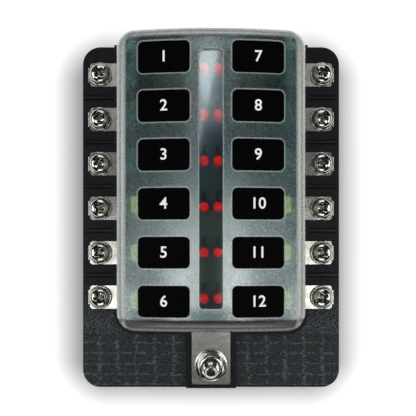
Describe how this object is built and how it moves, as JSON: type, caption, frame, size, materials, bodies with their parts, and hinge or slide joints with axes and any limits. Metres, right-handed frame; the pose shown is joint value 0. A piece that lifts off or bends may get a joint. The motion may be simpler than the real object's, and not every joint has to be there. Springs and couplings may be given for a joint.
{
  "type": "blade fuse block",
  "caption": "Blade fuse block: a black moulded base with screw terminals down both sides, a feed stud, indicator lamps and a lift-off arched clear cover with blank labels.",
  "frame": {"origin": "centre of the base's footprint, on its underside", "axes": "+Z out of the mounting surface, +Y along the block away from the feed stud, +X across it to the right-hand column of terminals"},
  "size_m": [0.087, 0.1154, 0.038],
  "materials": {
    "base_plastic": "moulded, fine grain",
    "plate_plastic": "moulded",
    "tinned_brass": "tin plated, satin",
    "plated_steel": "nickel plated",
    "board_black": "solder mask",
    "lamp_red": "clear red",
    "fuse_green": "clear green",
    "fuse_yellow": "clear yellow",
    "fuse_zinc": "zinc",
    "cover_plastic": "frosted clear, with a polished window",
    "label_black": "satin film"
  },
  "bodies": {
    "base": {"base_housing": "base_plastic", "back_plate": "plate_plastic", "bus_bar": "tinned_brass", "feed_stud": "plated_steel", "stud_flat_washer": "plated_steel", "circuit_board": "board_black", "indicator_leds": "lamp_red", "fuse_elements": "fuse_zinc", "output_terminal_01": "tinned_brass", "output_terminal_02": "tinned_brass", "output_terminal_03": "tinned_brass", "output_terminal_04": "tinned_brass", "output_terminal_05": "tinned_brass", "output_terminal_06": "tinned_brass", "output_terminal_07": "tinned_brass", "output_terminal_08": "tinned_brass", "output_terminal_09": "tinned_brass", "output_terminal_10": "tinned_brass", "output_terminal_11": "tinned_brass", "output_terminal_12": "tinned_brass", "fuse_housing_01": "fuse_green", "fuse_housing_02": "fuse_green", "fuse_housing_03": "fuse_green", "fuse_housing_04": "fuse_yellow", "fuse_housing_05": "fuse_yellow", "fuse_housing_06": "fuse_yellow", "fuse_housing_07": "fuse_green", "fuse_housing_08": "fuse_green", "fuse_housing_09": "fuse_green", "fuse_housing_10": "fuse_yellow", "fuse_housing_11": "fuse_yellow", "fuse_housing_12": "fuse_yellow"},
    "cover": {"cover": "cover_plastic", "circuit_labels": "label_black"},
    "washer_01": {"terminal_washer_01": "plated_steel"},
    "screw_01": {"terminal_screw_01": "plated_steel"},
    "washer_02": {"terminal_washer_02": "plated_steel"},
    "screw_02": {"terminal_screw_02": "plated_steel"},
    "washer_03": {"terminal_washer_03": "plated_steel"},
    "screw_03": {"terminal_screw_03": "plated_steel"},
    "washer_04": {"terminal_washer_04": "plated_steel"},
    "screw_04": {"terminal_screw_04": "plated_steel"},
    "washer_05": {"terminal_washer_05": "plated_steel"},
    "screw_05": {"terminal_screw_05": "plated_steel"},
    "washer_06": {"terminal_washer_06": "plated_steel"},
    "screw_06": {"terminal_screw_06": "plated_steel"},
    "washer_07": {"terminal_washer_07": "plated_steel"},
    "screw_07": {"terminal_screw_07": "plated_steel"},
    "washer_08": {"terminal_washer_08": "plated_steel"},
    "screw_08": {"terminal_screw_08": "plated_steel"},
    "washer_09": {"terminal_washer_09": "plated_steel"},
    "screw_09": {"terminal_screw_09": "plated_steel"},
    "washer_10": {"terminal_washer_10": "plated_steel"},
    "screw_10": {"terminal_screw_10": "plated_steel"},
    "washer_11": {"terminal_washer_11": "plated_steel"},
    "screw_11": {"terminal_screw_11": "plated_steel"},
    "washer_12": {"terminal_washer_12": "plated_steel"},
    "screw_12": {"terminal_screw_12": "plated_steel"},
    "lock_washer": {"stud_lock_washer": "plated_steel"},
    "nut": {"stud_nut": "plated_steel"}
  },
  "joints": [
    {"name": "cover_lift", "type": "slide", "parent": "base", "child": "cover", "axis": [0, 0, 1], "range_m": [0, 0.04]},
    {"name": "terminal_washer_lift_01", "type": "slide", "parent": "base", "child": "washer_01", "axis": [0, 0, 1], "range_m": [0, 0.003]},
    {"name": "terminal_screw_turn_01", "type": "hinge", "parent": "washer_01", "child": "screw_01", "pos_m": [-0.0373, 0.0479, 0.0188], "axis": [0, 0, 1], "range_deg": [0, 1800]},
    {"name": "terminal_washer_lift_02", "type": "slide", "parent": "base", "child": "washer_02", "axis": [0, 0, 1], "range_m": [0, 0.003]},
    {"name": "terminal_screw_turn_02", "type": "hinge", "parent": "washer_02", "child": "screw_02", "pos_m": [-0.0373, 0.0329, 0.0188], "axis": [0, 0, 1], "range_deg": [0, 1800]},
    {"name": "terminal_washer_lift_03", "type": "slide", "parent": "base", "child": "washer_03", "axis": [0, 0, 1], "range_m": [0, 0.003]},
    {"name": "terminal_screw_turn_03", "type": "hinge", "parent": "washer_03", "child": "screw_03", "pos_m": [-0.0373, 0.0179, 0.0188], "axis": [0, 0, 1], "range_deg": [0, 1800]},
    {"name": "terminal_washer_lift_04", "type": "slide", "parent": "base", "child": "washer_04", "axis": [0, 0, 1], "range_m": [0, 0.003]},
    {"name": "terminal_screw_turn_04", "type": "hinge", "parent": "washer_04", "child": "screw_04", "pos_m": [-0.0373, 0.0029, 0.0188], "axis": [0, 0, 1], "range_deg": [0, 1800]},
    {"name": "terminal_washer_lift_05", "type": "slide", "parent": "base", "child": "washer_05", "axis": [0, 0, 1], "range_m": [0, 0.003]},
    {"name": "terminal_screw_turn_05", "type": "hinge", "parent": "washer_05", "child": "screw_05", "pos_m": [-0.0373, -0.0121, 0.0188], "axis": [0, 0, 1], "range_deg": [0, 1800]},
    {"name": "terminal_washer_lift_06", "type": "slide", "parent": "base", "child": "washer_06", "axis": [0, 0, 1], "range_m": [0, 0.003]},
    {"name": "terminal_screw_turn_06", "type": "hinge", "parent": "washer_06", "child": "screw_06", "pos_m": [-0.0373, -0.0271, 0.0188], "axis": [0, 0, 1], "range_deg": [0, 1800]},
    {"name": "terminal_washer_lift_07", "type": "slide", "parent": "base", "child": "washer_07", "axis": [0, 0, 1], "range_m": [0, 0.003]},
    {"name": "terminal_screw_turn_07", "type": "hinge", "parent": "washer_07", "child": "screw_07", "pos_m": [0.0373, 0.0479, 0.0188], "axis": [0, 0, 1], "range_deg": [0, 1800]},
    {"name": "terminal_washer_lift_08", "type": "slide", "parent": "base", "child": "washer_08", "axis": [0, 0, 1], "range_m": [0, 0.003]},
    {"name": "terminal_screw_turn_08", "type": "hinge", "parent": "washer_08", "child": "screw_08", "pos_m": [0.0373, 0.0329, 0.0188], "axis": [0, 0, 1], "range_deg": [0, 1800]},
    {"name": "terminal_washer_lift_09", "type": "slide", "parent": "base", "child": "washer_09", "axis": [0, 0, 1], "range_m": [0, 0.003]},
    {"name": "terminal_screw_turn_09", "type": "hinge", "parent": "washer_09", "child": "screw_09", "pos_m": [0.0373, 0.0179, 0.0188], "axis": [0, 0, 1], "range_deg": [0, 1800]},
    {"name": "terminal_washer_lift_10", "type": "slide", "parent": "base", "child": "washer_10", "axis": [0, 0, 1], "range_m": [0, 0.003]},
    {"name": "terminal_screw_turn_10", "type": "hinge", "parent": "washer_10", "child": "screw_10", "pos_m": [0.0373, 0.0029, 0.0188], "axis": [0, 0, 1], "range_deg": [0, 1800]},
    {"name": "terminal_washer_lift_11", "type": "slide", "parent": "base", "child": "washer_11", "axis": [0, 0, 1], "range_m": [0, 0.003]},
    {"name": "terminal_screw_turn_11", "type": "hinge", "parent": "washer_11", "child": "screw_11", "pos_m": [0.0373, -0.0121, 0.0188], "axis": [0, 0, 1], "range_deg": [0, 1800]},
    {"name": "terminal_washer_lift_12", "type": "slide", "parent": "base", "child": "washer_12", "axis": [0, 0, 1], "range_m": [0, 0.003]},
    {"name": "terminal_screw_turn_12", "type": "hinge", "parent": "washer_12", "child": "screw_12", "pos_m": [0.0373, -0.0271, 0.0188], "axis": [0, 0, 1], "range_deg": [0, 1800]},
    {"name": "lock_washer_lift", "type": "slide", "parent": "base", "child": "lock_washer", "axis": [0, 0, 1], "range_m": [0, 0.004]},
    {"name": "stud_nut_turn", "type": "hinge", "parent": "lock_washer", "child": "nut", "pos_m": [0, -0.0498, 0.0212], "axis": [0, 0, 1], "range_deg": [0, 1800]}
  ],
  "couplings": [
    {"joint": "terminal_screw_turn_01", "follows": "terminal_washer_lift_01", "rad_per_m": 10472},
    {"joint": "terminal_screw_turn_02", "follows": "terminal_washer_lift_02", "rad_per_m": 10472},
    {"joint": "terminal_screw_turn_03", "follows": "terminal_washer_lift_03", "rad_per_m": 10472},
    {"joint": "terminal_screw_turn_04", "follows": "terminal_washer_lift_04", "rad_per_m": 10472},
    {"joint": "terminal_screw_turn_05", "follows": "terminal_washer_lift_05", "rad_per_m": 10472},
    {"joint": "terminal_screw_turn_06", "follows": "terminal_washer_lift_06", "rad_per_m": 10472},
    {"joint": "terminal_screw_turn_07", "follows": "terminal_washer_lift_07", "rad_per_m": 10472},
    {"joint": "terminal_screw_turn_08", "follows": "terminal_washer_lift_08", "rad_per_m": 10472},
    {"joint": "terminal_screw_turn_09", "follows": "terminal_washer_lift_09", "rad_per_m": 10472},
    {"joint": "terminal_screw_turn_10", "follows": "terminal_washer_lift_10", "rad_per_m": 10472},
    {"joint": "terminal_screw_turn_11", "follows": "terminal_washer_lift_11", "rad_per_m": 10472},
    {"joint": "terminal_screw_turn_12", "follows": "terminal_washer_lift_12", "rad_per_m": 10472},
    {"joint": "stud_nut_turn", "follows": "lock_washer_lift", "rad_per_m": 7854}
  ]
}
